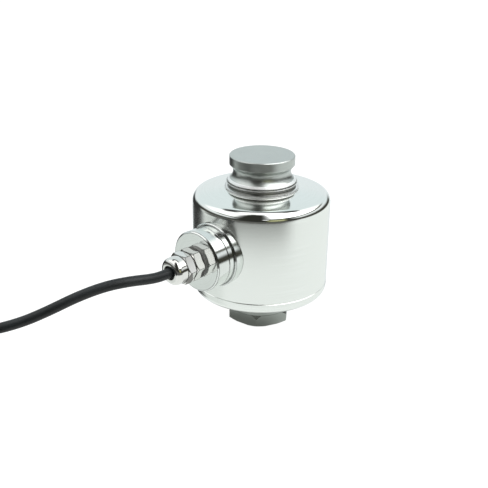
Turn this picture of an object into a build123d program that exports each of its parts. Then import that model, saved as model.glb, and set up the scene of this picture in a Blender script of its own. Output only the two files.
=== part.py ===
from build123d import *
import math
import os

# Column load cell: a turned steel column in a welded can, with a side outlet and a cable.
# Millimetres, +Z up. The origin is the centre of the face that the cell stands on.
# The outlet points along -Y.

# Heights
foot_height = 23.5
can_height = 77
neck_height = 8.75

# Can
can_dia = 100
can_wall = 2.5
top_plate = 2
hub_rise = 2.2
shoulder_radius = 7
cover_wall = 2
cover_edge_radius = 6.5
cover_rim_height = 9
backing_rim = 4
seam_chamfer = 0.35

# Head and necks of the column
head_dia = 47
head_band = 6.6
head_chamfer = 0.6
under_head_drop = 2.8
neck_dia = 41.6
waist_top_dia = 42.2
waist_drop = 2.4
lip_dia = 49.4
lip_band = 0.5
line_groove_width = 0.5
line_groove_depth = 0.6
ridge_dia = 50.8
ridge_band = 0.8
seal_groove_dia = 48
seal_groove_width = 3.4
collar_dia = 53.4
collar_band = 0.9
base_neck_dia = 39.6
bar_step_drop = 1

# Sensing section and foot of the column
bar_dia = 38
flat_across = 30
flat_length = 36
flat_runout = 4
stub_dia = 46
stub_blend = 4
hex_across_flats = 43
hex_height = 9.2
hex_top_chamfer = 2.4
hex_bottom_chamfer = 1.4
hex_turn = 6

# Outlet
outlet_dia = 43
outlet_height = 65.3
socket_rise = 6.5
socket_flange_dia = 46
socket_flange_rise = 2
socket_spigot_dia = 36
socket_bore_dia = 30
socket_ledge = 2
cap_length = 11
cap_face = 6
cap_front_chamfer = 1
cap_joint_chamfer = 0.3
cap_cavity_dia = 26
cap_spigot_length = 4
o_ring_section = 1.6
o_ring_groove = 1.8
o_ring_groove_depth = 1.3
flange_chamfer = 0.8

# Feedthrough between the outlet and the can
header_thickness = 2.4
pin_count = 4
pin_circle = 12
pin_dia = 1.2
pin_overhang = 3
glass_dia = 3.2

# Cable gland
washer_dia = 22.4
washer_thickness = 1.5
gland_across_flats = 20
gland_body_hex = 7
gland_thread_dia = 16
gland_neck_dia = 16.6
gland_neck_length = 8
gland_neck_bore = 13.6
gland_bore_gap = 1
clamp_seat_depth = 2
nut_gap = 1
nut_hex = 6.5
nut_barrel_dia = 19.4
nut_barrel = 4.3
nut_dome_radius = 4.2
nut_mouth_dia = 9.6
nut_mouth_lip = 2.2
clamp_wall = 1.2
clamp_slots = 8
clamp_slot_width = 0.8

# Cable and its coil
cable_dia = 7
jacket_setback = 5
coil_columns = 4
coil_layers = 6
coil_mid_dia = 77
coil_corner_radius = 3
coil_lead_in = 28
coil_relief = 0.2
climb_angle = 80
tail_turn_angle = 150
end_sleeve_length = 18
end_sleeve_wall = 0.4
end_core_length = 20
end_core_pitch = 1.3
end_core_rise = 0.8
end_core_spread = 1.6
end_core_bend = 3
core_straight = 1.5
core_bend = 1

# Inside the can
gauge_length = 11
gauge_width = 7
gauge_thickness = 0.3
terminal_length = 5
terminal_width = 6
terminal_thickness = 0.5
terminal_drop = 11
board_bar_gap = 6
board_edge_gap = 4.5
board_thickness = 1.6
board_height = 14.5
standoff_count = 3
standoff_dia = 6
standoff_inset = 5
standoff_angle = 30
screw_head_dia = 5.5
screw_head_height = 1.8
screw_head_radius = 0.7
screw_dia = 3
screw_grip = 6
screw_socket = 2
screw_socket_depth = 1.1
resistor_count = 4
resistor_dia = 2.4
resistor_radius = 0.5
resistor_length = 6.4
resistor_angle = 60
wire_dia = 1.2
wire_bend = 1.5
gauge_wire_inset = 4
gauge_wire_rise = 5
bridge_wire_inset = 5
bridge_wire_spread = 1.6
bridge_wire_foot = 8

# Clearances
weld_gap = 0.05
slide_gap = 0.1
thread_gap = 0.1

# Levels and radii that follow from the sizes above
can_floor = foot_height
can_top = foot_height + can_height
seam_level = can_floor + cover_rim_height
can_inner_r = can_dia / 2 - can_wall
hub_top = can_top + hub_rise
collar_bottom = hub_top + weld_gap
collar_top = collar_bottom + collar_band
ridge_bottom = collar_top + seal_groove_width
ridge_top = ridge_bottom + ridge_band
lip_bottom = ridge_top + line_groove_width
lip_top = lip_bottom + lip_band
under_head = lip_top + neck_height
head_band_base = under_head + under_head_drop
total_height = head_band_base + head_band
flat_mid = can_floor + can_height / 2
socket_reach = can_dia / 2 + socket_rise
socket_flange_reach = can_dia / 2 + socket_flange_rise
cap_reach = socket_reach + cap_length
jacket_end_reach = cap_reach - jacket_setback
board_bottom = can_floor + cover_wall + board_height - board_thickness
board_top = board_bottom + board_thickness
board_inner_dia = bar_dia + 2 * board_bar_gap
board_outer_dia = 2 * (can_inner_r - board_edge_gap)
standoff_circle = board_outer_dia - 2 * standoff_inset
resistor_circle = (board_inner_dia + board_outer_dia) / 2
gauge_wire_circle = board_inner_dia + 2 * gauge_wire_inset
bridge_wire_reach = board_outer_dia / 2 - bridge_wire_inset
washer_top = cap_reach + washer_thickness
body_hex_top = washer_top + gland_body_hex
nut_base = body_hex_top + nut_gap
nut_barrel_base = nut_base + nut_hex
nut_dome_base = nut_barrel_base + nut_barrel
mouth_reach = nut_dome_base + nut_dome_radius
header_inner = socket_reach - cap_spigot_length - header_thickness - slide_gap
header_outer = header_inner + header_thickness
cap_spigot_end = socket_reach - cap_spigot_length
cap_spigot_r = socket_bore_dia / 2 - thread_gap
o_ring_floor_r = cap_spigot_r - o_ring_groove_depth
o_ring_level = socket_reach - cap_spigot_length / 2
clamp_base = body_hex_top - clamp_seat_depth
gland_bore_dia = cable_dia + 2 * gland_bore_gap
coil_width = coil_columns * cable_dia
coil_height = coil_layers * cable_dia
coil_outer_r = coil_mid_dia / 2 + coil_width / 2
coil_inner_r = coil_mid_dia / 2 - coil_width / 2
outer_turn_r = coil_outer_r - cable_dia / 2
inner_turn_r = coil_inner_r + cable_dia / 2
top_turn_level = coil_height - cable_dia / 2
tail_level = coil_height + cable_dia / 2 + end_sleeve_wall

# The cable's bends in the air: sideways, out beyond the gland's mouth, and up from the outlet's height
air_bends = [
    (0, 8, 0),
    (-1.2, 17, 1),
    (-5.6, 29, 2.3),
    (-13.8, 42.4, 0.8),
    (-24.8, 56.4, -5.3),
    (-36.4, 70, -14),
    (-48.4, 83, -21.8),
]
# Its last bends, level with the coil's top turn: sideways and out beyond the mouth
level_bends = [
    (-61.8, 98.2),
    (-71.6, 114),
    (-79.2, 132.4),
]
cable_route = [(0, -mouth_reach, outlet_height)]
cable_route += [(x, -mouth_reach - out, outlet_height + up) for x, out, up in air_bends]
cable_route += [(x, -mouth_reach - out, top_turn_level) for x, out in level_bends]

# The outlet's own frame: its Z runs out along the boss, from the column's axis
outlet = Plane(origin=(0, 0, outlet_height), x_dir=(1, 0, 0), z_dir=(0, -1, 0))


def turned(*edges):
    """A solid turned about Z from an outline drawn as radius and height."""
    return revolve(Plane.XZ * make_face(Curve() + list(edges)), Axis.Z)


def tube(outer_dia, inner_dia, bottom, top):
    """A plain ring or bush about Z."""
    ring = Circle(outer_dia / 2) - Circle(inner_dia / 2)
    return Pos(0, 0, bottom) * extrude(ring, top - bottom)


def rod(dia, bottom, top):
    return Pos(0, 0, bottom) * extrude(Circle(dia / 2), top - bottom)


def hexagon(across_flats, bottom, top):
    outline = RegularPolygon(across_flats / 2, 6, major_radius=False)
    return Pos(0, 0, bottom) * extrude(outline, top - bottom)


def quarter(start, end, centre):
    """A quarter arc between two points about a centre."""
    middle = (Vector(*start) + Vector(*end)) * 0.5 - Vector(*centre)
    radius = (Vector(*start) - Vector(*centre)).length
    through = Vector(*centre) + middle.normalized() * radius
    return ThreePointArc(start, through, end)


def swept_round(points, dia, bend):
    """A round wire along straight runs with tangent arcs at its corners."""
    path = FilletPolyline(*points, radius=bend)
    return sweep(path.location_at(0) * Circle(dia / 2), path=path)


def upper_outline():
    """The outline of the head, the necks and the collar, from the top down."""
    head_r = head_dia / 2
    waist_top_r = waist_top_dia / 2
    lip_r = lip_dia / 2
    groove_r = lip_r - line_groove_depth
    ridge_r = ridge_dia / 2
    collar_r = collar_dia / 2
    waist = (neck_dia / 2, under_head - waist_drop)
    seal_floor = (seal_groove_dia / 2, (collar_top + ridge_bottom) / 2)
    return [
        Polyline(
            (0, total_height),
            (head_r - head_chamfer, total_height),
            (head_r, total_height - head_chamfer),
            (head_r, head_band_base),
            (waist_top_r, under_head),
        ),
        ThreePointArc((waist_top_r, under_head), waist, (lip_r, lip_top)),
        Polyline(
            (lip_r, lip_top),
            (lip_r, lip_bottom),
            (groove_r, lip_bottom),
            (groove_r, ridge_top),
            (ridge_r, ridge_top),
            (ridge_r, ridge_bottom),
        ),
        ThreePointArc((ridge_r, ridge_bottom), seal_floor, (collar_r, collar_top)),
        Polyline((collar_r, collar_top), (collar_r, collar_bottom), (base_neck_dia / 2, collar_bottom)),
    ]


def lower_outline():
    """The outline from under the collar down to the hexagon, and back to the axis."""
    base_r = base_neck_dia / 2
    bar_r = bar_dia / 2
    stub_r = stub_dia / 2
    step = hub_top - top_plate - bar_step_drop
    blend_base = can_floor + cover_wall
    blend_top = blend_base + stub_blend
    return [
        Polyline((base_r, collar_bottom), (base_r, step), (bar_r, step - base_r + bar_r), (bar_r, blend_top)),
        quarter((bar_r, blend_top), (stub_r, blend_base), (stub_r, blend_top)),
        Polyline((stub_r, blend_base), (stub_r, hex_height), (0, hex_height), (0, total_height)),
    ]


def gauge_flats():
    """Four blocks that mill the square sensing section, with rounded run-outs."""
    depth = bar_dia / 2
    block = Box(depth, bar_dia, flat_length)
    runouts = block.edges().filter_by(Axis.Y).sort_by(Axis.X)[:2]
    block = fillet(runouts, flat_runout)
    centre = Pos(flat_across / 2 + depth / 2, 0, flat_mid)
    return [Rot(0, 0, 90 * i) * centre * block for i in range(4)]


def hex_foot():
    """The foot's hexagon, with its corners turned off at a cone above and below."""
    corner_r = hex_across_flats / math.sqrt(3)
    stub_r = stub_dia / 2
    blank = turned(
        Polyline(
            (0, 0),
            (corner_r - hex_bottom_chamfer * 2, 0),
            (corner_r, hex_bottom_chamfer),
            (corner_r, hex_height - hex_top_chamfer),
            (stub_r, hex_height),
            (0, hex_height),
            (0, 0),
        )
    )
    return blank & (Rot(0, 0, hex_turn) * hexagon(hex_across_flats, 0, hex_height))


def load_column():
    column = turned(*upper_outline(), *lower_outline())
    for block in gauge_flats():
        column -= block
    return column + hex_foot()


def shoulder_sweep():
    """The shoulder's arc in degrees: it ends where the sloping top leaves it without a kink."""
    run = can_dia / 2 - shoulder_radius - collar_dia / 2
    rise = hub_rise + shoulder_radius
    lean = math.degrees(math.atan2(rise, run))
    return 180 - lean - math.degrees(math.acos(shoulder_radius / math.hypot(run, rise)))


def housing_can():
    """The can's side, rounded shoulder and top that slopes up to a flat hub, with its two holes."""
    r = can_dia / 2
    centre = (r - shoulder_radius, can_top - shoulder_radius)
    sweep_angle = shoulder_sweep()
    outer = CenterArc(centre, shoulder_radius, 0, sweep_angle)
    inner = CenterArc(centre, shoulder_radius - can_wall, sweep_angle, -sweep_angle)
    hub_r = collar_dia / 2
    hole_r = base_neck_dia / 2 + weld_gap
    under = hub_top - top_plate
    shell = turned(
        Polyline((r - seam_chamfer, seam_level), (r, seam_level + seam_chamfer), outer @ 0),
        outer,
        Polyline(outer @ 1, (hub_r, hub_top), (hole_r, hub_top), (hole_r, under), (hub_r, under), inner @ 0),
        inner,
        Polyline(inner @ 1, (can_inner_r, seam_level), (r - seam_chamfer, seam_level)),
    )
    return shell - outlet * rod(socket_spigot_dia + 2 * weld_gap, 0, can_dia)


def bottom_cover():
    """The dished cover that closes the can, with a backing rim inside the seam."""
    r = can_dia / 2
    hole_r = stub_dia / 2 + weld_gap
    inside_floor = can_floor + cover_wall
    rim_outer = can_inner_r - slide_gap
    rim_inner = rim_outer - cover_wall
    inner_corner = cover_edge_radius - cover_wall
    corner_x = r - cover_edge_radius
    corner_z = can_floor + cover_edge_radius
    inner_x = rim_inner - inner_corner
    inner_z = inside_floor + inner_corner
    return turned(
        Polyline((hole_r, inside_floor), (hole_r, can_floor), (corner_x, can_floor)),
        quarter((corner_x, can_floor), (r, corner_z), (corner_x, corner_z)),
        Polyline(
            (r, corner_z),
            (r, seam_level - seam_chamfer),
            (r - seam_chamfer, seam_level),
            (rim_outer, seam_level),
            (rim_outer, seam_level + backing_rim),
            (rim_inner, seam_level + backing_rim),
            (rim_inner, inner_z),
        ),
        quarter((rim_inner, inner_z), (inner_x, inside_floor), (inner_x, inner_z)),
        Line((inner_x, inside_floor), (hole_r, inside_floor)),
    )


def outlet_socket():
    """The weld-in socket: a flange shaped to the can, a spigot through its wall and the boss's root."""
    tube_r = outlet_dia / 2
    flange_r = socket_flange_dia / 2
    flange = turned(
        Polyline(
            (0, 0),
            (flange_r, 0),
            (flange_r, socket_flange_reach - flange_chamfer),
            (flange_r - flange_chamfer, socket_flange_reach),
            (tube_r, socket_flange_reach),
            (tube_r, socket_reach - cap_joint_chamfer),
            (tube_r - cap_joint_chamfer, socket_reach),
            (0, socket_reach),
            (0, 0),
        )
    )
    outside_can = outlet * flange - Cylinder(can_dia / 2 + weld_gap, total_height * 2)
    spigot = outlet * rod(socket_spigot_dia, can_inner_r - socket_ledge, socket_flange_reach)
    ledge_dia = socket_bore_dia - 2 * socket_ledge
    bore = rod(socket_bore_dia, header_inner, can_dia) + rod(ledge_dia, 0, can_dia)
    return outside_can + spigot - outlet * bore


def outlet_cap():
    """The screwed cap of the boss, with its spigot, cavity and threaded hole for the gland."""
    r = outlet_dia / 2
    thread_r = gland_thread_dia / 2 + thread_gap
    cavity_r = cap_cavity_dia / 2
    cap = turned(
        Polyline(
            (thread_r, cap_reach),
            (r - cap_front_chamfer, cap_reach),
            (r, cap_reach - cap_front_chamfer),
            (r, socket_reach + cap_joint_chamfer),
            (r - cap_joint_chamfer, socket_reach),
            (cap_spigot_r, socket_reach),
            (cap_spigot_r, o_ring_level + o_ring_groove / 2),
            (o_ring_floor_r, o_ring_level + o_ring_groove / 2),
            (o_ring_floor_r, o_ring_level - o_ring_groove / 2),
            (cap_spigot_r, o_ring_level - o_ring_groove / 2),
            (cap_spigot_r, cap_spigot_end),
            (cavity_r, cap_spigot_end),
            (cavity_r, cap_reach - cap_face),
            (thread_r, cap_reach - cap_face),
            (thread_r, cap_reach),
        )
    )
    return outlet * cap


def cap_o_ring():
    """The ring in the cap's spigot groove, flattened on the groove's floor."""
    centre_r = socket_bore_dia / 2 - slide_gap - o_ring_section / 2
    ring = Pos(0, 0, o_ring_level) * Torus(centre_r, o_ring_section / 2)
    space = tube(socket_bore_dia, 2 * (o_ring_floor_r + slide_gap), cap_spigot_end, socket_reach)
    return outlet * (ring & space)


def pin_angles():
    return [45 + 360 / pin_count * i for i in range(pin_count)]


def pin_places():
    return [Rot(0, 0, angle) * Pos(pin_circle / 2, 0, 0) for angle in pin_angles()]


def feedthrough_plate():
    plate = rod(socket_bore_dia - 2 * slide_gap, header_inner, header_outer)
    for place in pin_places():
        plate -= place * rod(glass_dia + 2 * weld_gap, 0, can_dia)
    return outlet * plate


def feedthrough_glass(place):
    return outlet * place * tube(glass_dia, pin_dia + 2 * weld_gap, header_inner, header_outer)


def feedthrough_pin(place):
    return outlet * place * rod(pin_dia, header_inner - pin_overhang, header_outer + pin_overhang)


def gland_washer():
    return outlet * tube(washer_dia, gland_thread_dia + 2 * slide_gap, cap_reach, washer_top)


def nut_blank(across_flats, bottom, top):
    """A turned blank that takes a hexagon's corners off at both ends, as a nut's are."""
    corner_r = across_flats / math.sqrt(3)
    face_r = across_flats / 2
    drop = (corner_r - face_r) * math.tan(math.radians(30))
    return turned(
        Polyline(
            (0, bottom),
            (face_r, bottom),
            (corner_r, bottom + drop),
            (corner_r, top - drop),
            (face_r, top),
            (0, top),
            (0, bottom),
        )
    )


def gland_body():
    """The gland's body: thread into the cap, spanner hexagon and neck for the nut."""
    thread = rod(gland_thread_dia, cap_reach - cap_face, washer_top)
    collar = hexagon(gland_across_flats, washer_top, body_hex_top)
    collar &= nut_blank(gland_across_flats, washer_top, body_hex_top)
    neck = rod(gland_neck_dia, body_hex_top, body_hex_top + gland_neck_length)
    bore = rod(gland_bore_dia, 0, can_dia) + rod(gland_neck_bore, clamp_base, can_dia)
    return outlet * (thread + collar + neck - bore)


def gland_clamp():
    """The plastic basket round the seal, slotted into fingers at its outer end."""
    outer = gland_neck_bore - 2 * slide_gap
    end = nut_dome_base
    basket = tube(outer, outer - 2 * clamp_wall, clamp_base, end)
    slot_depth = end - (body_hex_top + gland_neck_length)
    for i in range(clamp_slots):
        slot = Box(outer, clamp_slot_width, slot_depth * 2, align=(Align.MIN, Align.CENTER, Align.CENTER))
        basket -= Rot(0, 0, 360 / clamp_slots * i) * Pos(0, 0, end) * slot
    return outlet * basket


def gland_seal():
    """The rubber sleeve that grips the jacket, with its lip showing in the nut's mouth."""
    outer_r = gland_neck_bore / 2 - slide_gap - clamp_wall - slide_gap
    lip_r = nut_mouth_dia / 2 - slide_gap
    front = mouth_reach - nut_mouth_lip / 2
    seal = turned(
        Polyline(
            (cable_dia / 2, clamp_base),
            (outer_r, clamp_base),
            (outer_r, nut_dome_base),
            (lip_r, nut_dome_base),
            (lip_r, front),
            (cable_dia / 2, front),
            (cable_dia / 2, clamp_base),
        )
    )
    return outlet * seal


def gland_nut():
    """The domed nut: spanner hexagon, round barrel and rounded mouth."""
    barrel_r = nut_barrel_dia / 2
    face_r = barrel_r - nut_dome_radius
    mouth_r = nut_mouth_dia / 2
    cavity_r = gland_neck_dia / 2 + thread_gap
    front = turned(
        Polyline((0, nut_base), (barrel_r, nut_base), (barrel_r, nut_dome_base)),
        quarter((barrel_r, nut_dome_base), (face_r, mouth_reach), (face_r, nut_dome_base)),
        Polyline((face_r, mouth_reach), (0, mouth_reach), (0, nut_base)),
    )
    hexed = hexagon(gland_across_flats, nut_base, nut_barrel_base)
    hexed &= nut_blank(gland_across_flats, nut_base, nut_barrel_base)
    cavity = turned(
        Polyline(
            (0, nut_base),
            (cavity_r, nut_base),
            (cavity_r, nut_dome_base),
            (mouth_r, mouth_reach - nut_mouth_lip),
            (mouth_r, mouth_reach),
            (0, mouth_reach),
            (0, nut_base),
        )
    )
    return outlet * (front + hexed - cavity)


def cable_entry():
    """The end of the jacket, held in the gland."""
    return outlet * rod(cable_dia, jacket_end_reach, mouth_reach)


def cable_core(angle):
    """One core between its feedthrough pin and the end of the jacket."""
    start = header_outer + pin_overhang
    outward = Vector(math.cos(math.radians(angle)), math.sin(math.radians(angle)))
    outer = outward * (pin_circle / 2)
    inner = outward * (cable_dia / 2 - wire_dia)
    points = [
        (outer.X, outer.Y, start),
        (outer.X, outer.Y, start + core_straight),
        (inner.X, inner.Y, jacket_end_reach - core_straight),
        (inner.X, inner.Y, jacket_end_reach),
    ]
    return outlet * swept_round(points, wire_dia, core_bend)


def route_radii():
    """The arc at each corner of the route: 0.45 of its shorter run over the tangent of half the turn."""
    points = [Vector(*p) for p in cable_route]
    radii = []
    for before, here, after in zip(points, points[1:], points[2:]):
        turn = (here - before).get_angle(after - here)
        shorter = min((here - before).length, (after - here).length)
        radii.append(0.45 * shorter / math.tan(math.radians(turn) / 2))
    return radii


def cable_run():
    """The jacket's run through the air, from the gland's mouth to the stretch that joins the coil."""
    path = FilletPolyline(*cable_route, radius=route_radii())
    solid = sweep(path.location_at(0) * Circle(cable_dia / 2), path=path)
    ratio = solid.volume / (math.pi * (cable_dia / 2) ** 2 * path.length)
    print("cable arcs", [round(r, 1) for r in route_radii()])
    print("cable run", round(path.length, 1), "volume over section times length", ratio)
    return solid


def coil_places():
    """The coil's centre, the point where the cable joins its outer turn, and that point's angle."""
    last = Vector(*cable_route[-1])
    heading = (last - Vector(*cable_route[-2])).normalized()
    outward = Vector(heading.Y, -heading.X, 0)
    joining = last + heading * coil_lead_in
    centre = joining - outward * outer_turn_r
    angle = math.degrees(math.atan2(outward.Y, outward.X))
    return Vector(centre.X, centre.Y, 0), joining, angle


def tail_path():
    """The end of the inner turn: it climbs onto the coil and lies on its top."""
    centre, _, angle = coil_places()
    first = Plane(origin=centre, x_dir=Vector(1, 0, 0).rotate(Axis.Z, angle - climb_angle))
    middle = Vector(inner_turn_r, 0, 0).rotate(Axis.Z, climb_angle / 2)
    last = Vector(inner_turn_r, 0, 0).rotate(Axis.Z, climb_angle)
    climb = Spline(
        (inner_turn_r, 0, top_turn_level),
        (middle.X, middle.Y, (top_turn_level + tail_level) / 2),
        (last.X, last.Y, tail_level),
        tangents=((0, 1, 0), Vector(0, 1, 0).rotate(Axis.Z, climb_angle)),
    )
    level = Pos(0, 0, tail_level) * CenterArc((0, 0), inner_turn_r, climb_angle, tail_turn_angle)
    return first * (climb + level)


def cable_coil():
    """The closed shape of the wound cable, with the stretches that enter and leave it."""
    centre, joining, _ = coil_places()
    ring = tube(2 * coil_outer_r, 2 * coil_inner_r, 0, coil_height)
    ring = fillet(ring.edges().filter_by(GeomType.CIRCLE), coil_corner_radius)
    coil = Pos(centre) * ring
    section = Circle((cable_dia - coil_relief) / 2)
    for path in (Line(cable_route[-1], joining), tail_path()):
        coil += sweep(path.location_at(0) * section, path=path)
    return coil


def end_frame():
    """The frame at the cable's end: Z runs on along the cable, X is level and Y is up."""
    tail = tail_path()
    along = tail % 1
    return Plane(origin=tail @ 1, x_dir=along.cross(Vector(0, 0, 1)), z_dir=along)


def end_sleeve():
    return end_frame() * rod(cable_dia + 2 * end_sleeve_wall, 0, end_sleeve_length)


def end_core(index):
    """A free core beyond the sleeve: it fans out a little and comes down onto the coil."""
    rest = coil_height + wire_dia / 2 - tail_level
    side = index - 2
    start_x = side * end_core_pitch
    start_y = end_core_rise if index % 2 else -end_core_rise
    reach = end_core_length / 5
    points = [
        (start_x, start_y, end_sleeve_length),
        (start_x, start_y, end_sleeve_length + reach),
        (start_x + side * end_core_spread / 2, rest, end_sleeve_length + 3 * reach),
        (start_x + side * end_core_spread, rest, end_sleeve_length + 5 * reach),
    ]
    return end_frame() * swept_round(points, wire_dia, end_core_bend)


def strain_gauge(index):
    stand = (Align.MIN, Align.CENTER, Align.CENTER)
    gauge = Box(gauge_thickness, gauge_width, gauge_length, align=stand)
    return Rot(0, 0, 90 * index) * Pos(flat_across / 2, 0, flat_mid) * gauge


def solder_terminal(index):
    stand = (Align.MIN, Align.CENTER, Align.CENTER)
    pad = Box(terminal_thickness, terminal_width, terminal_length, align=stand)
    return Rot(0, 0, 90 * index) * Pos(flat_across / 2, 0, flat_mid - terminal_drop) * pad


def gauge_lead(index):
    """The wire from a gauge's solder terminal to the ring board."""
    near = flat_across / 2 + terminal_thickness + wire_dia / 2
    far = gauge_wire_circle / 2
    top = flat_mid - terminal_drop
    points = [
        (near, 0, top + terminal_length / 2),
        (near, 0, top),
        (far, 0, board_top + gauge_wire_rise),
        (far, 0, board_top),
    ]
    return Rot(0, 0, 90 * index) * swept_round(points, wire_dia, wire_bend)


def bridge_lead(angle):
    """The wire from a feedthrough pin's inner end down to the ring board."""
    x = math.cos(math.radians(angle)) * pin_circle / 2
    rise = math.sin(math.radians(angle)) * pin_circle / 2
    reach = bridge_wire_reach
    foot_x = x
    if rise > 0:
        reach -= 2 * wire_dia
        foot_x = x * bridge_wire_spread
    points = [
        (x, pin_overhang - header_inner, outlet_height + rise),
        (x, -reach, outlet_height + rise),
        (foot_x, -reach, board_top + bridge_wire_foot),
        (foot_x, -reach, board_top),
    ]
    if foot_x == x:
        points.pop(2)
    return swept_round(points, wire_dia, wire_bend)


def ring_places(count, circle, start):
    return [Rot(0, 0, start + 360 / count * i) * Pos(circle / 2, 0, 0) for i in range(count)]


def standoff_places():
    return ring_places(standoff_count, standoff_circle, standoff_angle)


def ring_board():
    board = tube(board_outer_dia, board_inner_dia, board_bottom, board_top)
    for place in standoff_places():
        board -= place * rod(screw_dia + 2 * slide_gap, 0, total_height)
    return board


def board_standoffs():
    bottom = can_floor + cover_wall
    standoff = tube(standoff_dia, screw_dia + 2 * thread_gap, bottom, board_bottom)
    return [place * standoff for place in standoff_places()]


def board_screws():
    """Round-headed socket screws that hold the board on its standoffs."""
    head_top = board_top + screw_head_height
    head = rod(screw_head_dia, board_top, head_top)
    head = fillet(head.edges().sort_by(Axis.Z)[-1], screw_head_radius)
    shank = rod(screw_dia, board_bottom - screw_grip, board_top)
    socket = hexagon(screw_socket, head_top - screw_socket_depth, head_top)
    screw = head + shank - socket
    return [place * screw for place in standoff_places()]


def trim_resistor(place):
    body = Rot(90, 0, 0) * Cylinder(resistor_dia / 2, resistor_length)
    body = fillet(body.edges(), resistor_radius)
    return place * Pos(0, 0, board_top + resistor_dia / 2) * body


def build():
    parts = {
        "load_column": load_column(),
        "housing_can": housing_can(),
        "bottom_cover": bottom_cover(),
        "outlet_socket": outlet_socket(),
        "outlet_cap": outlet_cap(),
        "cap_o_ring": cap_o_ring(),
        "feedthrough_plate": feedthrough_plate(),
        "gland_washer": gland_washer(),
        "gland_body": gland_body(),
        "gland_clamp": gland_clamp(),
        "gland_seal": gland_seal(),
        "gland_nut": gland_nut(),
        "ring_board": ring_board(),
        "board_standoffs": Compound(children=board_standoffs()),
        "board_screws": Compound(children=board_screws()),
        "cable_entry": cable_entry(),
        "cable_run": cable_run(),
        "cable_coil": cable_coil(),
        "end_sleeve": end_sleeve(),
    }
    for i, place in enumerate(pin_places()):
        parts[f"feedthrough_glass_{i + 1}"] = feedthrough_glass(place)
        parts[f"feedthrough_pin_{i + 1}"] = feedthrough_pin(place)
    for i, angle in enumerate(pin_angles()):
        parts[f"cable_core_{i + 1}"] = cable_core(angle)
        parts[f"bridge_lead_{i + 1}"] = bridge_lead(angle)
    for i in range(4):
        parts[f"strain_gauge_{i + 1}"] = strain_gauge(i)
        parts[f"solder_terminal_{i + 1}"] = solder_terminal(i)
        parts[f"gauge_lead_{i + 1}"] = gauge_lead(i)
    for i, place in enumerate(ring_places(resistor_count, resistor_circle, resistor_angle)):
        parts[f"trim_resistor_{i + 1}"] = trim_resistor(place)
    for i, name in enumerate(["red", "black", "shield", "green", "white"]):
        parts[f"end_core_{name}"] = end_core(i)
    return parts


os.makedirs("parts", exist_ok=True)
for name, shape in build().items():
    export_step(shape, f"parts/{name}.step")
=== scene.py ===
import bpy
import math
from mathutils import Matrix, Vector


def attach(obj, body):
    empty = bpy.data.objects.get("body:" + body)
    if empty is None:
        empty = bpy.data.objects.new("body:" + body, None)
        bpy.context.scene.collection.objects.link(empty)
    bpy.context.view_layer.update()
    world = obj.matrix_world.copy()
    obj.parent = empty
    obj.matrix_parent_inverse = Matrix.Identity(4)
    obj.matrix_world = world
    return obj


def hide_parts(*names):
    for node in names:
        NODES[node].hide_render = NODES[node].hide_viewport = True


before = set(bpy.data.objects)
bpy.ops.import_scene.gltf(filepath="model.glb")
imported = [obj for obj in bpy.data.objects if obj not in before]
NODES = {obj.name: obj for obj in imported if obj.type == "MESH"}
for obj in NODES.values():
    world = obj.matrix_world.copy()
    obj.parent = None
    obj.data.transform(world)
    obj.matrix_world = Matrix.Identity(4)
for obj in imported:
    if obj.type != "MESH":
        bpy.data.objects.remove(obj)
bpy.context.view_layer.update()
SCENE = bpy.context.scene
SCENE.view_settings.view_transform = "Standard"

# Sizes of the CAD model, in metres

OUTLET_HEIGHT = 0.0653
CABLE_DIA = 0.007
FOOT_TOP = 0.0235
HEXAGON_TOP = 0.0092
CAN_TOP = 0.1005
COLLAR = (0.10275, 0.10365)
RIDGE = (0.10705, 0.10785)
LIP = (0.10835, 0.10885)

# Zones of the column with painted highlight or painted shade, as ranges of height

LIP_SHEEN = 0.00125
GROOVE_EDGE = 0.00015
HIGHLIGHT_LANDS = [COLLAR, RIDGE, (LIP[0], LIP[1] + LIP_SHEEN)]
SHADED_GROOVES = [(COLLAR[1] + GROOVE_EDGE, RIDGE[0] - GROOVE_EDGE), (RIDGE[1], LIP[0])]
ZONE_BLUR = 0.00006

# Cone of the hexagon's turned-off corners: radius plus slope times height

LENS_SLOPE = 0.7625
LENS_START = 0.02994
LENS_FULL = 0.02999


# Camera: the photograph's own, fitted to its ellipses and edges

CAMERA_TILT = 23.212
CAMERA_PAN = -1.325
CAMERA_ROLL = 0.732
CAMERA_TURN = 40.4
CAMERA_PLACE = (0, -0.5278, 0.2837)
CAMERA_LENS = 56.86
SENSOR_WIDTH = 36


def camera():
    tilt, pan, roll, turn = (math.radians(a) for a in (CAMERA_TILT, CAMERA_PAN, CAMERA_ROLL, CAMERA_TURN))
    forward = Vector((math.sin(pan) * math.cos(tilt), math.cos(pan) * math.cos(tilt), -math.sin(tilt)))
    level = forward.cross(Vector((0, 0, 1))).normalized()
    upright = level.cross(forward)
    right = level * math.cos(roll) + upright * math.sin(roll)
    up = upright * math.cos(roll) - level * math.sin(roll)
    axes = Matrix((right, up, -forward)).transposed()
    place = Matrix.Rotation(turn, 4, "Z") @ Matrix.Translation(CAMERA_PLACE) @ axes.to_4x4()
    data = bpy.data.cameras.new("photo_camera")
    data.lens = CAMERA_LENS
    data.sensor_width = SENSOR_WIDTH
    data.clip_start = 0.01
    obj = bpy.data.objects.new("photo_camera", data)
    obj.matrix_world = place
    SCENE.collection.objects.link(obj)
    SCENE.camera = obj


# Node helpers

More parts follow.
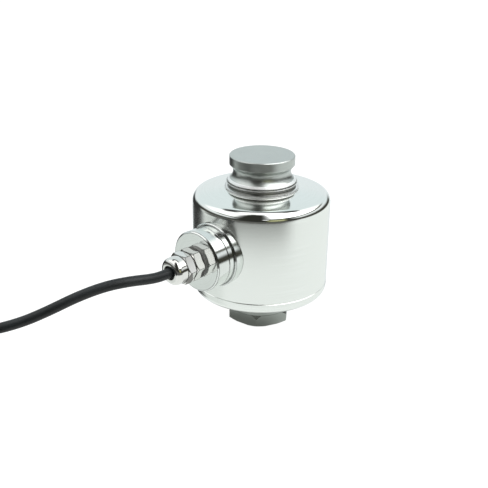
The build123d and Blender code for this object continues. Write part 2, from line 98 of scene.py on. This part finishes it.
class Tree:
    """A small wrapper that adds and links shader nodes."""

    def __init__(self, tree):
        self.tree = tree

    def add(self, kind, inputs=(), **settings):
        node = self.tree.nodes.new("ShaderNode" + kind)
        for name, value in settings.items():
            setattr(node, name, value)
        for key, value in dict(inputs).items():
            self.set(node.inputs[key], value)
        return node

    def set(self, socket, value):
        if isinstance(value, bpy.types.NodeSocket):
            self.tree.links.new(value, socket)
        else:
            socket.default_value = value

    def math(self, operation, a, b=0.0):
        return self.add("Math", {0: a, 1: b}, operation=operation).outputs[0]

    def vector_math(self, operation, a, b=(0, 0, 0)):
        return self.add("VectorMath", {0: a, 1: b}, operation=operation).outputs

    def step(self, value, low, high, to_low=0.0, to_high=1.0):
        """A smooth step between two input values."""
        inputs = {0: value, 1: low, 2: high, 3: to_low, 4: to_high}
        return self.add("MapRange", inputs, interpolation_type="SMOOTHSTEP").outputs[0]

    def mix(self, factor, a, b):
        node = self.add("Mix", data_type="RGBA")
        self.set(node.inputs[0], factor)
        self.set(node.inputs[6], a)
        self.set(node.inputs[7], b)
        return node.outputs[2]

    def noise(self, vector, scale, detail, roughness):
        inputs = {"Vector": vector, "Scale": scale, "Detail": detail, "Roughness": roughness}
        return self.add("TexNoise", inputs).outputs[0]

    def bump(self, height, distance, normal=None):
        inputs = {"Height": height, "Distance": distance, "Strength": 1.0}
        if normal:
            inputs["Normal"] = normal
        return self.add("Bump", inputs).outputs[0]


def new_material(name):
    material = bpy.data.materials.new(name)
    material.use_nodes = True
    return material, Tree(material.node_tree), material.node_tree.nodes["Principled BSDF"]


def grey(value, tint=(1, 1, 1)):
    return (value * tint[0], value * tint[1], value * tint[2], 1)


def turned_coordinates(t, axis):
    """Radius and height about the column's axis or the outlet's axis, so that grain runs round the part."""
    place = t.add("TexCoord").outputs["Object"]
    if axis == "outlet":
        place = t.vector_math("SUBTRACT", place, (0, 0, OUTLET_HEIGHT))[0]
    parts = t.add("SeparateXYZ", {0: place}).outputs
    across = parts[2] if axis == "outlet" else parts[1]
    along = parts[1] if axis == "outlet" else parts[2]
    squared = t.math("ADD", t.math("MULTIPLY", parts[0], parts[0]), t.math("MULTIPLY", across, across))
    radius = t.math("SQRT", squared)
    angle = t.math("ARCTAN2", across, parts[0])
    return place, radius, angle, along


def turned_lines(t, coordinates, scales, roughness):
    """Fine lines round the axis, from the radius, height and angle and a scale for each."""
    scaled = [t.math("MULTIPLY", value, scale) for value, scale in zip(coordinates, scales)]
    rings = t.add("CombineXYZ", dict(enumerate(scaled))).outputs[0]
    return t.noise(rings, 1.0, 5.0, roughness)


def turned_grain(t, place, coordinates, line_scale):
    """The lines of machined metal, and with faint handling marks added how uneven its polish is."""
    lines = turned_lines(t, coordinates, (line_scale, line_scale, 0.6), 0.65)
    marks = t.noise(place, 55.0, 4.0, 0.6)
    uneven = t.math("ADD", t.math("MULTIPLY", lines, 0.6), t.math("MULTIPLY", marks, 0.4))
    return lines, uneven


def turned_metal(name, axis, colour, roughness, line_scale, line_depth, spread, edge_shade=0.0):
    """Machined metal: fine lines round the axis, uneven polish and, with an edge shade, painted shade that
    darkens its edges.
    """
    material, t, shader = new_material(name)
    place, radius, angle, along = turned_coordinates(t, axis)
    lines, uneven = turned_grain(t, place, (radius, along, angle), line_scale)
    t.set(shader.inputs["Roughness"], t.step(uneven, 0.3, 0.7, roughness - spread, roughness + spread))
    darker = tuple(c * 0.9 for c in colour[:3]) + (1,)
    tone = t.mix(t.step(uneven, 0.35, 0.65), darker, colour)
    rounded = t.add("Bevel", {"Radius": 0.0003}, samples=4).outputs[0]
    if edge_shade:
        # painted shade: edges darkened almost to black where a wide bevel bends the normal
        wide = t.add("Bevel", {"Radius": 0.0008}, samples=8).outputs[0]
        same = t.vector_math("DOT_PRODUCT", wide, t.add("NewGeometry").outputs["Normal"])[1]
        tone = t.mix(t.step(same, 0.998, 0.975, 0.0, edge_shade), tone, (0.02, 0.02, 0.017, 1))
    t.set(shader.inputs["Base Color"], tone)
    t.set(shader.inputs["Normal"], t.bump(lines, line_depth, rounded))
    shader.inputs["Metallic"].default_value = 1.0
    return material


def column_metal():
    """Satin steel: painted highlight on the lands at the collar, ridge and lip, and painted shade in the
    grooves, at the bottom under the can and on the hexagon's turned-off corners.
    """
    material, t, shader = new_material("satin_steel")
    place, radius, angle, along = turned_coordinates(t, "column")
    lines, uneven = turned_grain(t, place, (radius, along, angle), 2200.0)
    tone = t.mix(t.step(uneven, 0.35, 0.65), (0.53, 0.565, 0.545, 1), (0.60, 0.635, 0.61, 1))
    # painted shade: the lowest part of the column, under the can, darkened
    foot_shade = t.step(along, FOOT_TOP, FOOT_TOP - 0.0005)
    tone = t.mix(foot_shade, tone, (0.45, 0.48, 0.45, 1))

    def zones(ranges):
        inside = 0.0
        for low, high in ranges:
            rise = t.step(along, low - ZONE_BLUR, low + ZONE_BLUR)
            fall = t.step(along, high + ZONE_BLUR, high - ZONE_BLUR)
            inside = t.math("ADD", inside, t.math("MULTIPLY", rise, fall))
        return inside

    # painted highlight: the lands at the collar, ridge and lip lightened almost to white
    land_highlight = zones(HIGHLIGHT_LANDS)
    tone = t.mix(land_highlight, tone, (0.95, 0.96, 0.95, 1))
    # painted shade: the grooves between the collar, ridge and lip darkened
    tone = t.mix(zones(SHADED_GROOVES), tone, (0.2, 0.205, 0.19, 1))
    # painted shade: the hexagon's turned-off corners darkened
    cone = t.math("ADD", t.math("MULTIPLY", along, LENS_SLOPE), radius)
    below = t.step(along, HEXAGON_TOP + 0.0004, HEXAGON_TOP + 0.0001)
    lens = t.math("MULTIPLY", t.step(cone, LENS_START, LENS_FULL), below)
    tone = t.mix(lens, tone, (0.14, 0.145, 0.135, 1))
    t.set(shader.inputs["Base Color"], tone)
    rough = t.step(uneven, 0.3, 0.7, 0.27, 0.36)
    t.set(shader.inputs["Roughness"], t.math("ADD", rough, t.math("MULTIPLY", land_highlight, 0.15)))
    edge = t.add("Bevel", {"Radius": 0.00045}, samples=4).outputs[0]
    normal = t.bump(lines, 0.000012, edge)
    t.set(shader.inputs["Normal"], t.bump(t.noise(place, 2600.0, 2.0, 0.7), 0.00001, normal))
    shader.inputs["Metallic"].default_value = 1.0
    return material


def can_metal():
    """Polished can: mirror-bright shoulder, a top a little less so, and a finely polished side."""
    material, t, shader = new_material("polished_can")
    place, radius, angle, along = turned_coordinates(t, "column")
    lines = turned_lines(t, (radius, along, angle), (900.0, 1500.0, 1.2), 0.6)
    clouds = t.noise(place, 30.0, 3.0, 0.5)
    side = t.step(along, CAN_TOP - 0.003, CAN_TOP - 0.01)
    top = t.step(along, CAN_TOP - 0.0003, CAN_TOP + 0.0003, 0.04, 0.085)
    polish = t.math("ADD", t.math("MULTIPLY", side, 0.2), top)
    uneven = t.math("MULTIPLY", t.math("SUBTRACT", clouds, 0.5), 0.05)
    t.set(shader.inputs["Roughness"], t.math("MAXIMUM", t.math("ADD", polish, uneven), 0.03))
    tone = t.mix(t.step(lines, 0.3, 0.7), (0.885, 0.91, 0.88, 1), (0.915, 0.94, 0.915, 1))
    t.set(shader.inputs["Base Color"], tone)
    depth = t.math("MULTIPLY", t.math("MULTIPLY", side, lines), 0.5)
    t.set(shader.inputs["Normal"], t.bump(depth, 0.000004))
    shader.inputs["Metallic"].default_value = 1.0
    return material


def speckled(name, colour, roughness, scale=900.0, depth=0.00002, metallic=0.0, vary=0.15):
    """Moulded or coated surface: fine grain, slight colour change and uneven gloss."""
    material, t, shader = new_material(name)
    place = t.add("TexCoord").outputs["Object"]
    fine = t.noise(place, scale, 4.0, 0.6)
    broad = t.noise(place, scale / 14, 3.0, 0.5)
    low = tuple(c * (1 - vary) for c in colour[:3]) + (1,)
    high = tuple(min(1.0, c * (1 + vary)) for c in colour[:3]) + (1,)
    t.set(shader.inputs["Base Color"], t.mix(t.step(broad, 0.35, 0.65), low, high))
    t.set(shader.inputs["Roughness"], t.step(fine, 0.3, 0.7, max(0.02, roughness - 0.06), roughness + 0.06))
    t.set(shader.inputs["Normal"], t.bump(fine, depth))
    shader.inputs["Metallic"].default_value = metallic
    return material


def jacket():
    """Cable jacket: dull charcoal plastic with a fine grain and slight changes of tone."""
    material, t, shader = new_material("cable_jacket")
    place = t.add("TexCoord").outputs["Object"]
    fine = t.noise(place, 1700.0, 3.0, 0.6)
    broad = t.noise(place, 45.0, 3.0, 0.5)
    tone = t.mix(t.step(broad, 0.35, 0.65), (0.006, 0.0075, 0.008, 1), (0.011, 0.013, 0.014, 1))
    t.set(shader.inputs["Base Color"], tone)
    t.set(shader.inputs["Roughness"], t.step(fine, 0.3, 0.7, 0.38, 0.5))
    t.set(shader.inputs["Normal"], t.bump(fine, 0.00003))
    shader.inputs["Specular IOR Level"].default_value = 0.36
    return material


# Studio: bright soft surroundings, with dark gaps that draw the polished edges

# Fields of the surroundings, in the order they are laid on: windows and a tone. A window is a bearing,
# half width and softness round the column, and a lowest and highest angle above the horizon and softness.
# All of them are in degrees.

FIELDS = {
    "softbox": ([((18, 44, 12), (30, 76, 4))], grey(2.6)),
    "gap": ([((-20, 110, 10), (22, 28, 2))], grey(0.12, (1.0, 1.0, 0.8))),
    "behind": ([((138, 55, 12), (8, 60, 6))], grey(0.84, (0.91, 1.0, 1.02))),
    "rear": ([((140, 36, 8), (-50, 20, 6))], grey(0.86, (0.94, 1.0, 1.02))),
    "ceiling": ([((135, 75, 12), (56, 70, 3))], grey(0.06)),
    "room": ([((-65, 26, 12), (-11, 79, 5)), ((-44, 50, 14), (-11, 29, 6))],
             grey(0.03, (1.0, 1.0, 0.85))),
    "olive": ([((-24, 12, 7), (3, 19, 5))], (0.48, 0.48, 0.27, 1)),
    "card": ([((-42, 4, 2), (18, 23, 2))], grey(1.25)),
    "shade": ([((176, 22, 8), (-38, 3, 5))], grey(0.035)),
    "front": ([((-135, 18, 10), (-50, -9, 6))], grey(0.8, (0.95, 1.0, 0.97))),
}


def studio_world():
    world = bpy.data.worlds.new("studio")
    world.use_nodes = True
    SCENE.world = world
    t = Tree(world.node_tree)
    background = world.node_tree.nodes["Background"]
    way = t.add("TexCoord").outputs["Generated"]
    x, y, z = t.add("SeparateXYZ", {0: t.vector_math("NORMALIZE", way)[0]}).outputs
    flat = t.math("SQRT", t.math("MAXIMUM", t.math("SUBTRACT", 1.0, t.math("MULTIPLY", z, z)), 0.0001))
    height = t.math("MULTIPLY", t.math("ARCSINE", z), 180 / math.pi)

    def band(low, high, soft):
        rise = t.step(height, low - soft, low + soft)
        return t.math("MULTIPLY", rise, t.step(height, high + soft, high - soft))

    def sector(centre, half, soft):
        c, s = math.cos(math.radians(centre)), math.sin(math.radians(centre))
        along = t.math("ADD", t.math("MULTIPLY", x, c), t.math("MULTIPLY", y, s))
        facing = t.math("DIVIDE", along, flat)
        inner = math.cos(math.radians(max(0, half - soft)))
        outer = math.cos(math.radians(min(180, half + soft)))
        return t.step(facing, outer, inner)

    tone = t.mix(t.step(height, -11, -4), grey(0.93, (0.965, 1.0, 0.98)), grey(0.05, (1.0, 1.0, 0.8)))
    tone = t.mix(t.step(height, 5, 16), tone, grey(0.9, (0.97, 1.0, 1.01)))
    tone = t.mix(t.step(height, 24, 32), tone, grey(1.25))
    for windows, colour in FIELDS.values():
        mask = 0.0
        for around, heights in windows:
            window = t.math("MULTIPLY", sector(*around), band(*heights))
            mask = t.math("MAXIMUM", mask, window)
        tone = t.mix(mask, tone, colour)

    seen = t.add("LightPath").outputs["Is Camera Ray"]
    t.set(background.inputs["Color"], t.mix(seen, tone, (1, 1, 1, 1)))
    background.inputs["Strength"].default_value = 1.0


FLOOR_HALF = 4.0


def floor():
    """White to the camera, clear to reflections but for a dim far zone and a close zone of painted shade
    round the column's base, and pale to other rays.
    """
    mesh = bpy.data.meshes.new("studio_floor")
    half = FLOOR_HALF
    corners = [(-half, -half, 0), (half, -half, 0), (half, half, 0), (-half, half, 0)]
    mesh.from_pydata(corners, [], [(0, 1, 2, 3)])
    obj = bpy.data.objects.new("studio_floor", mesh)
    SCENE.collection.objects.link(obj)
    material, t, shader = new_material("pale_floor")
    output = material.node_tree.nodes["Material Output"]
    material.node_tree.nodes.remove(shader)
    path = t.add("LightPath").outputs
    x, y, _ = t.add("SeparateXYZ", {0: t.add("TexCoord").outputs["Object"]}).outputs
    reach = t.math("SQRT", t.math("ADD", t.math("MULTIPLY", x, x), t.math("MULTIPLY", y, y)))

    def facing(angle):
        c, s = math.cos(math.radians(angle)), math.sin(math.radians(angle))
        toward = t.math("ADD", t.math("MULTIPLY", x, c), t.math("MULTIPLY", y, s))
        return t.math("DIVIDE", toward, t.math("MAXIMUM", reach, 0.001))

    wider = t.step(facing(-165), 0.6, 0.85, 0.0, 0.05)
    far = t.step(t.math("SUBTRACT", reach, wider), 0.225, 0.29)
    far = t.math("MULTIPLY", far, t.step(facing(-76), 0.1, 0.6))
    # painted shade: a dim patch of floor round the column's base, seen only in reflections, for the shade
    # under the can
    near_shade = t.math("MULTIPLY", t.step(reach, 0.05, 0.034), t.step(facing(-94), -0.6, 0.7, 0.05, 0.85))
    white = t.add("Emission", {"Color": (1, 1, 1, 1), "Strength": 0.97}).outputs[0]
    matte = t.add("BsdfDiffuse", {"Color": (0.1, 0.1, 0.1, 1)}).outputs[0]
    both = t.add("AddShader", {0: white, 1: matte}).outputs[0]
    plain = t.add("BsdfDiffuse", {"Color": (0.8, 0.8, 0.8, 1)}).outputs[0]
    clear = t.add("BsdfTransparent").outputs[0]
    dim = t.add("Emission", {"Color": (1, 1, 0.94, 1), "Strength": 0.12}).outputs[0]
    clear = t.add("MixShader", {0: t.math("MAXIMUM", far, near_shade), 1: clear, 2: dim}).outputs[0]
    seen = t.add("MixShader", {0: path["Is Camera Ray"], 1: plain, 2: both}).outputs[0]
    surface = t.add("MixShader", {0: path["Is Glossy Ray"], 1: seen, 2: clear}).outputs[0]
    t.set(output.inputs["Surface"], surface)
    mesh.materials.append(material)


def area_light(name, place, target, size, power):
    data = bpy.data.lights.new(name, "AREA")
    data.shape = "DISK"
    data.size = size
    data.energy = power
    obj = bpy.data.objects.new(name, data)
    obj.location = place
    obj.rotation_euler = (Vector(target) - Vector(place)).to_track_quat("-Z", "Y").to_euler()
    obj.visible_glossy = False
    SCENE.collection.objects.link(obj)


# Cable: the route of the CAD model, then the coil's turns and the end that lies on the coil

ROUTE = [
    (0, -0.092, 0.0653),
    (0, -0.1, 0.0653),
    (-0.0012, -0.109, 0.0663),
    (-0.0056, -0.121, 0.0676),
    (-0.0138, -0.1344, 0.0661),
    (-0.0248, -0.1484, 0.06),
    (-0.0364, -0.162, 0.0513),
    (-0.0484, -0.175, 0.0435),
    (-0.0618, -0.1902, 0.0385),
    (-0.0716, -0.206, 0.0385),
    (-0.0792, -0.2244, 0.0385),
]
COIL_LEAD_IN = 0.028
OUTER_TURN = 0.049
COIL_COLUMNS = 4
COIL_LAYERS = 6
TURN_POINTS = 16
CLIMB = 80 / 360
TAIL_TURN = 150 / 360
SLEEVE_WALL = 0.0004


def coil_turn(number):
    """Radius and height of a turn: down the outer column, up the next and so on inwards, then on the top."""
    column, layer = divmod(number, COIL_LAYERS)
    if column == COIL_COLUMNS:
        return OUTER_TURN - (column - 1) * CABLE_DIA, CABLE_DIA * (COIL_LAYERS + 0.5) + SLEEVE_WALL
    if column % 2 == 0:
        layer = COIL_LAYERS - 1 - layer
    return OUTER_TURN - column * CABLE_DIA, CABLE_DIA * (layer + 0.5)


def coil_points():
    last, before = Vector(ROUTE[-1]), Vector(ROUTE[-2])
    heading = (last - before).normalized()
    outward = Vector((heading.y, -heading.x, 0))
    centre = last + heading * COIL_LEAD_IN - outward * OUTER_TURN
    start = math.atan2(outward.y, outward.x)
    turns = COIL_COLUMNS * COIL_LAYERS
    count = round((turns + TAIL_TURN) * TURN_POINTS)
    step = (turns + TAIL_TURN) / count
    points = []
    for i in range(count + 1):
        turned = min(step * (i + 0.5), turns + TAIL_TURN)
        number = int(turned)
        climb = max(0.0, (turned - number - 1 + CLIMB) / CLIMB)
        climb = climb * climb * (3 - 2 * climb)
        radius, level = coil_turn(number)
        next_radius, next_level = coil_turn(min(number + 1, turns))
        radius += (next_radius - radius) * climb
        level += (next_level - level) * climb
        # the spline cuts inside its control points, so they stand a little further out
        if i < count:
            radius /= math.cos(math.pi * step)
        angle = start + 2 * math.pi * turned
        points.append((centre.x + radius * math.cos(angle), centre.y + radius * math.sin(angle), level))
    return points


def cable():
    points = ROUTE + coil_points()
    data = bpy.data.curves.new("sensor_cable", "CURVE")
    data.dimensions = "3D"
    data.bevel_depth = CABLE_DIA / 2
    data.bevel_resolution = 5
    data.resolution_u = 5
    data.use_fill_caps = True
    spline = data.splines.new("NURBS")
    spline.points.add(len(points) - 1)
    for point, place in zip(spline.points, points):
        point.co = (*place, 1)
    spline.order_u = 3
    spline.use_endpoint_u = True
    obj = bpy.data.objects.new("sensor_cable", data)
    SCENE.collection.objects.link(obj)
    data.materials.append(jacket())
    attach(obj, "root")
    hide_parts("cable_run", "cable_coil")


# Materials of the carried-over CAD nodes

def assign(node, material):
    mesh = NODES[node].data
    mesh.materials.clear()
    mesh.materials.append(material)


def dress():
    steel = column_metal()
    can = can_metal()
    boss_tone = grey(0.86, (0.965, 1.0, 0.975))
    boss = turned_metal("polished_boss", "outlet", boss_tone, 0.09, 1800.0, 0.000002, 0.03, 0.7)
    nickel_tone = grey(0.88, (1.0, 0.995, 0.965))
    nickel = turned_metal("nickel_gland", "outlet", nickel_tone, 0.07, 900.0, 0.000002, 0.03, 0.9)
    header = turned_metal("header_steel", "outlet", grey(0.5), 0.35, 1500.0, 0.000004, 0.05)
    brass = speckled("turned_brass", (0.75, 0.57, 0.27, 1), 0.3, 1500.0, 0.000005, 1.0, 0.06)
    gold = speckled("plated_pin", (0.83, 0.63, 0.27, 1), 0.2, 1500.0, 0.000003, 1.0, 0.05)
    bright = speckled("bright_screw", (0.62, 0.62, 0.62, 1), 0.25, 1500.0, 0.000005, 1.0, 0.08)
    tinned = speckled("tinned_wire", (0.72, 0.72, 0.70, 1), 0.35, 2500.0, 0.00004, 1.0, 0.12)
    rubber = speckled("black_rubber", (0.018, 0.018, 0.018, 1), 0.62, 1400.0, 0.00003)
    washer = speckled("grey_washer", (0.09, 0.09, 0.085, 1), 0.4, 1400.0, 0.00002)
    plastic = speckled("dark_moulding", (0.03, 0.03, 0.03, 1), 0.5, 900.0, 0.00002)
    sleeve = speckled("shrunk_sleeve", (0.012, 0.012, 0.012, 1), 0.42, 700.0, 0.00004)
    glass = speckled("fused_bead", (0.05, 0.09, 0.07, 1), 0.15, 700.0, 0.000004, 0.0, 0.1)
    board = speckled("solder_resist", (0.01, 0.12, 0.045, 1), 0.3, 1200.0, 0.00001, 0.0, 0.12)
    film = speckled("gauge_film", (0.62, 0.33, 0.08, 1), 0.35, 1600.0, 0.000006)
    lacquer = speckled("lacquered_resistor", (0.2, 0.42, 0.55, 1), 0.3, 1200.0, 0.00001)
    cores = {
        "red": speckled("core_red", (0.42, 0.012, 0.012, 1), 0.4),
        "black": speckled("core_black", (0.012, 0.012, 0.012, 1), 0.4),
        "green": speckled("core_green", (0.012, 0.2, 0.05, 1), 0.4),
        "white": speckled("core_white", (0.75, 0.75, 0.72, 1), 0.4, vary=0.04),
    }
    plain = {
        "load_column": steel, "housing_can": can, "bottom_cover": can,
        "outlet_socket": boss, "outlet_cap": boss, "cap_o_ring": rubber,
        "feedthrough_plate": header, "gland_washer": washer, "gland_body": nickel,
        "gland_nut": nickel, "gland_clamp": plastic, "gland_seal": rubber, "ring_board": board,
        "board_standoffs": brass, "board_screws": bright, "end_sleeve": sleeve, "end_core_shield": tinned,
    }
    for node, material in plain.items():
        assign(node, material)
    assign("cable_entry", jacket())
    for i, name in enumerate(cores, 1):
        for node in (f"cable_core_{i}", f"bridge_lead_{i}", f"gauge_lead_{i}", f"end_core_{name}"):
            assign(node, cores[name])
        assign(f"feedthrough_glass_{i}", glass)
        assign(f"feedthrough_pin_{i}", gold)
        assign(f"strain_gauge_{i}", film)
        assign(f"solder_terminal_{i}", brass)
        assign(f"trim_resistor_{i}", lacquer)


camera()
cable()
dress()
studio_world()
floor()
area_light("overhead", place=(0.1, -0.25, 0.9), target=(0, 0, 0.05), size=0.7, power=9)
area_light("side_fill", place=(-0.6, -0.7, 0.5), target=(0, -0.05, 0.05), size=0.5, power=3)
